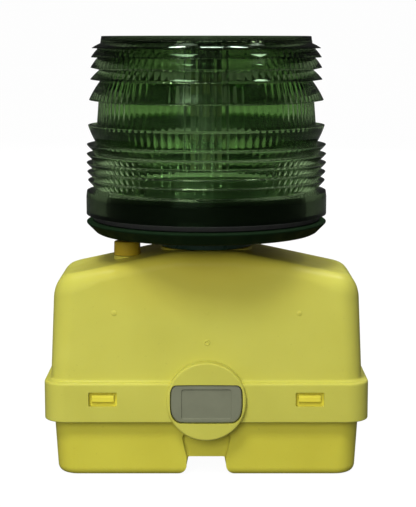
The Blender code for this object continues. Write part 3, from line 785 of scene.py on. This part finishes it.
def battery_tray():
    tray = tray_shell()
    rim = [section(92.7, 38.4, 8.4, height) for height in (40.0, 60.0)]
    tools = [loft("rim_inside", rim)]
    for side in (-1, 1):
        wells = []
        for outer_x, half_depth, height in ((85.1, 33.6, 2.4), (89.4, 34.6, 34.0), (90.0, 34.8, 41.0)):
            half_width = (outer_x - WELL_INNER_X) / 2
            middle = side * (outer_x + WELL_INNER_X) / 2
            wells.append([(x + middle, y, z) for x, y, z in section(half_width, half_depth, 9.4, height)])
        tools.append(loft("well", wells))
    hollow = rounded_box_outline(16.0, 31.0, 2.0)
    tools.append(extrude("centre_pocket", hollow, 14.4, 64.4, edge=1.5))
    tools.append(extrude("foot_hollow", hollow, -9.0, 11.4, edge=1.5))
    tools.append(extrude("base_arch", base_arch(), -60.0, 60.0, axis="Y"))
    valley = [(-12.0, -2.0), (-12.0, 11.0), (-15.0, 24.0), (-11.0, 29.0)]
    valley += [(-x, z) for x, z in reversed(valley)]
    valley = fillet(valley, [0, 4, 4, 3, 3, 4, 4, 0], 5, closed=True)
    for side in (-1, 1):
        span = sorted((side * 33.6, side * 48.0))
        tools.append(extrude("valley", valley, *span, axis="Y", edge=2.5))
    cut(tray, *tools)
    wall = [(-33.3, 30.0), (-36.6, 30.0), (-36.6, 35.2), (-40.0, 35.2), (-40.0, 54.4), (-33.3, 54.4)]
    join(tray, extrude("latch_wall", wall, -34.5, 34.5, axis="X"))
    tools = [extrude("latch_notch", rounded_box_outline(31.5, 5.0, 1.0, at=(0, -40.3)), 34.9, 61.0)]
    for x in (-TAB_X, TAB_X):
        for side in (-1, 1):
            slot = rounded_box_outline(9.3, 2.2, 0.4, at=(x, side * 40.2))
            tools.append(extrude("tab_slot", slot, 37.9, 60.9))
    cut(tray, *tools)
    piece(tray, "tray", "tray_yellow", "battery_tray")


def snap_tab(name, x, side):
    """An upright plate with a round foot on the hinge's axis, and a nose towards the outside."""
    foot_y, foot_z = TAB_AXIS
    half = 1.1
    angles = [math.radians(180 + 180 * step / 10) for step in range(11)]
    plate = [(half, 14.2), (-half, 14.2)] + [(half * math.cos(a), half * math.sin(a)) for a in angles]
    nose = [(-0.5, 12.4), (-2.4, 12.1), (-3.1, 10.8), (-3.1, 8.0), (-2.4, 7.2), (-0.5, 6.8)]
    nose = fillet(nose, [0, 0.5, 0.8, 0.8, 0.5, 0], 4)
    plate, nose = ([(side * (foot_y - y), foot_z + z) for y, z in outline] for outline in (plate, nose))
    tab = extrude(f"{name}_moulded", plate, x - 8.9, x + 8.9, axis="X", edge=0.25)
    join(tab, extrude("nose", nose, x - 6.7, x + 6.7, axis="X", edge=0.35))
    piece(tab, name, "tab_yellow", name)


def latch_button():
    button = extrude("latch_plate", button_outline(), -46.3, -40.7, axis="Y", edge=1.1, edge_steps=4)
    dish = rounded_box_outline(15.0, 9.2, 1.6, at=(0.0, 46.7))
    cut(button, extrude("dish", dish, -49.0, -45.6, axis="Y", edge=0.5))
    join(button, extrude("flange", clipped_disc(23.2, -16.0, 6.0), -40.9, -40.0, axis="Y"))
    piece(button, "latch", "latch_grey", "latch_button")


def switch_knob():
    foot = SWITCH_SEAT + 0.3
    outline = [(0, 140.0), (8.05, 140.0), (8.25, foot), (3.0, foot), (3.0, 120.6), (0, 120.6)]
    outline = fillet(outline, [0, 1.1, 0.3, 0, 0, 0], 5)
    piece(lathe("knob_moulded", outline, 96, at=SWITCH_AT), "switch", "knob_yellow", "switch_knob")


# The neck, the dish and its gasket.


def neck_and_dish():
    collar = [(28.0, 142.3), (28.0, 137.3), (STEM_BORE, 137.3), (STEM_BORE, 142.3)]
    collar = fillet(collar, 0.5, closed=True)
    piece(lathe("collar_turned", collar, 128), "case", "neck_dark_green", "neck_collar")
    outline = [
        (72.9, 153.4), (74.0, 152.6), (73.7, 151.8), (68.4, 146.4), (66.6, 145.5), (46.0, 142.6),
        (STEM_BORE, 142.6), (STEM_BORE, 145.6), (37.0, 145.6), (39.0, 147.0), (66.8, 147.0), (68.0, 147.8),
        (68.0, 150.8), (65.6, 150.8), (65.6, 153.4),
    ]
    radii = [0.5, 0.5, 0.5, 1.2, 1.2, 4.0, 0.2, 0.2, 0.3, 0.3, 0.3, 0.3, 0.2, 0.2, 0.2]
    dish = lathe("dish_moulded", fillet(outline, radii, closed=True), 192)
    entry = rounded_box_outline(10.5, 3.0, 0.5, at=(0.0, 64.9))
    cut(dish, *three_round_the_axis(lambda: extrude("entry", entry, 149.4, 155.4), start=30.0))
    piece(dish, "case", "dish_green", "lens_dish")
    ring = fillet([(70.0, 157.0), (70.0, 153.7), (66.4, 153.7), (66.4, 157.0)], 0.8, 4, closed=True)
    piece(lathe("gasket_ring", ring, 128), "case", "gasket_rubber", "lens_gasket")


# The lens.

LENS_TOP = 265.3
# Each tooth's tip radius and height, then its root's radius and height.
UPPER_TEETH = (
    (70.0, 258.0, 66.2, 257.8),
    (70.4, 252.5, 66.3, 252.4),
    (70.7, 246.3, 65.2, 245.0),
    (71.0, 239.2, 64.9, 238.3),
    (71.8, 226.8, 66.0, 225.8),
)
LOWER_TEETH = (
    (72.6, 211.8, 67.2, 210.4),
    (73.6, 200.0, 67.4, 200.2),
    (73.7, 194.2, 68.0, 194.6),
    (73.8, 188.9, 68.2, 189.2),
    (73.4, 183.4, 68.4, 183.8),
    (73.0, 178.2, 68.4, 178.6),
)
FLUTE_DEPTH = 0.3
FLUTE_ENDS = (176.0, 262.0)
FLUTE_RUN_OUT = 3.0


def bulged(first, last, share=0.03, steps=6):
    """Points between two others on a slight outward curve, which ends before the last point."""
    start, end = Vector(first), Vector(last)
    along = end - start
    outwards = Vector((-along.y, along.x))
    if outwards.x < 0:
        outwards.negate()
    places = [step / steps for step in range(steps)]
    return [tuple(start.lerp(end, t) + outwards * share * 4 * t * (1 - t)) for t in places]


def lens_outline():
    """Saw teeth that are steep on one side and lean on the other, with a plain belt between the two sets."""
    outer = [(0.0, LENS_TOP), (63.9, LENS_TOP)]
    last_root = (64.6, 261.0)
    for tip, tip_height, root, root_height in UPPER_TEETH:
        outer += bulged(last_root, (tip, tip_height)) + [(tip, tip_height)]
        last_root = (root, root_height)
    outer += [last_root, (LOWER_TEETH[0][2], LOWER_TEETH[0][3])]
    roots = [tooth[2:] for tooth in LOWER_TEETH[1:]] + [(67.4, 172.6)]
    for (tip, tip_height, _, _), next_root in zip(LOWER_TEETH, roots):
        outer += bulged((tip, tip_height), next_root) + [next_root]
    outer += [(73.6, 171.5), (74.0, 168.0), (74.0, 157.3), (65.2, 157.3), (65.2, 147.6)]
    inner = [
        outer[-1], (62.4, 147.6), (62.4, 176.0), (62.3, 179.0), (62.0, 214.0), (61.2, 240.0),
        (60.8, 262.2), (0.0, 262.2),
    ]
    return fillet(outer, 0.25, 2) + fillet(inner, [0, 0.4, 0, 0, 8.0, 8.0, 2.5, 0])[1:]


def lens_wave(radius, height, angles):
    """The inner wall's upright flutes, which fade out at its two ends."""
    bottom, top = FLUTE_ENDS
    if not (60.0 < radius < 62.6 and bottom < height < top):
        return radius + 0.0 * angles
    fade = min(1.0, (height - bottom) / FLUTE_RUN_OUT, (top - height) / FLUTE_RUN_OUT)
    return radius - FLUTE_DEPTH * fade * np.abs(np.cos(angles * FLUTES / 2))


def lens():
    drum = lathe("lens_moulded", lens_outline(), FLUTES * 8, wave=lens_wave)
    lug = rounded_box_outline(6.8, 1.7, 0.3, at=(0.0, 65.5))
    join(drum, *three_round_the_axis(lambda: extrude("lug", lug, 147.9, 150.5, edge=0.2)))
    drum.visible_shadow = False
    piece(drum, "lens", "lens_green", "lens")


make_camera()
make_studio()
upper_case()
battery_tray()
for end, side in (("front", -1), ("rear", 1)):
    for hand, x in (("left", -TAB_X), ("right", TAB_X)):
        snap_tab(f"snap_tab_{end}_{hand}", x, side)
latch_button()
switch_knob()
neck_and_dish()
lens()

slots = {entry["node"]: entry["material_slot"] for entry in frame["record"]["subparts"]}
for name, obj in frame["nodes"].items():
    obj.data.materials.clear()
    obj.data.materials.append(FINISHES[slots[name]])
